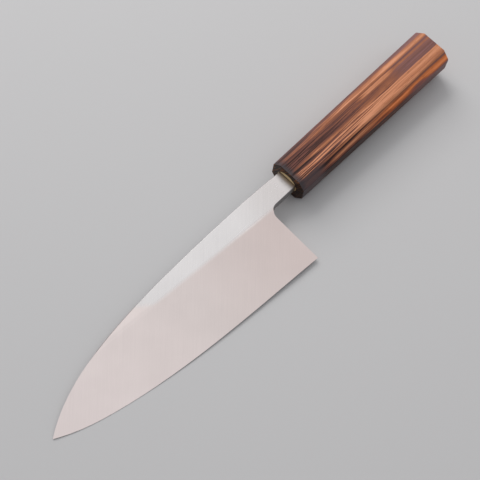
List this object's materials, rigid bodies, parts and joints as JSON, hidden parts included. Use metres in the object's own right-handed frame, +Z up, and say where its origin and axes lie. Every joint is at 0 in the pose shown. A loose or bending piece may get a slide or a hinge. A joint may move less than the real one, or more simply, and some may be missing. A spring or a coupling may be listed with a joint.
{
  "type": "kitchen knife",
  "caption": "Heavy Japanese fish knife (deba) with a wide single-bevel steel blade, square heel, short neck and a tapered octagonal wooden handle, lying on its side.",
  "frame": {"origin": "bottom centre of the knife's bounding box as it lies on a flat surface", "axes": "+X along the knife from the point to the butt, +Y from the cutting edge to the spine, +Z up"},
  "size_m": [0.331, 0.058, 0.027],
  "materials": {
    "blade_steel": "ground, with fine even scratches along the flat and the bevel",
    "burnt_chestnut": "scorched and rubbed smooth, orange brown with dark grain lines",
    "light_wood": "plain, end grain at the mouth",
    "dark_glue": "set dark glue"
  },
  "bodies": {
    "root": {"blade": "blade_steel", "handle": "burnt_chestnut", "tang_dowel": "light_wood", "tang_glue": "dark_glue"}
  },
  "joints": []
}
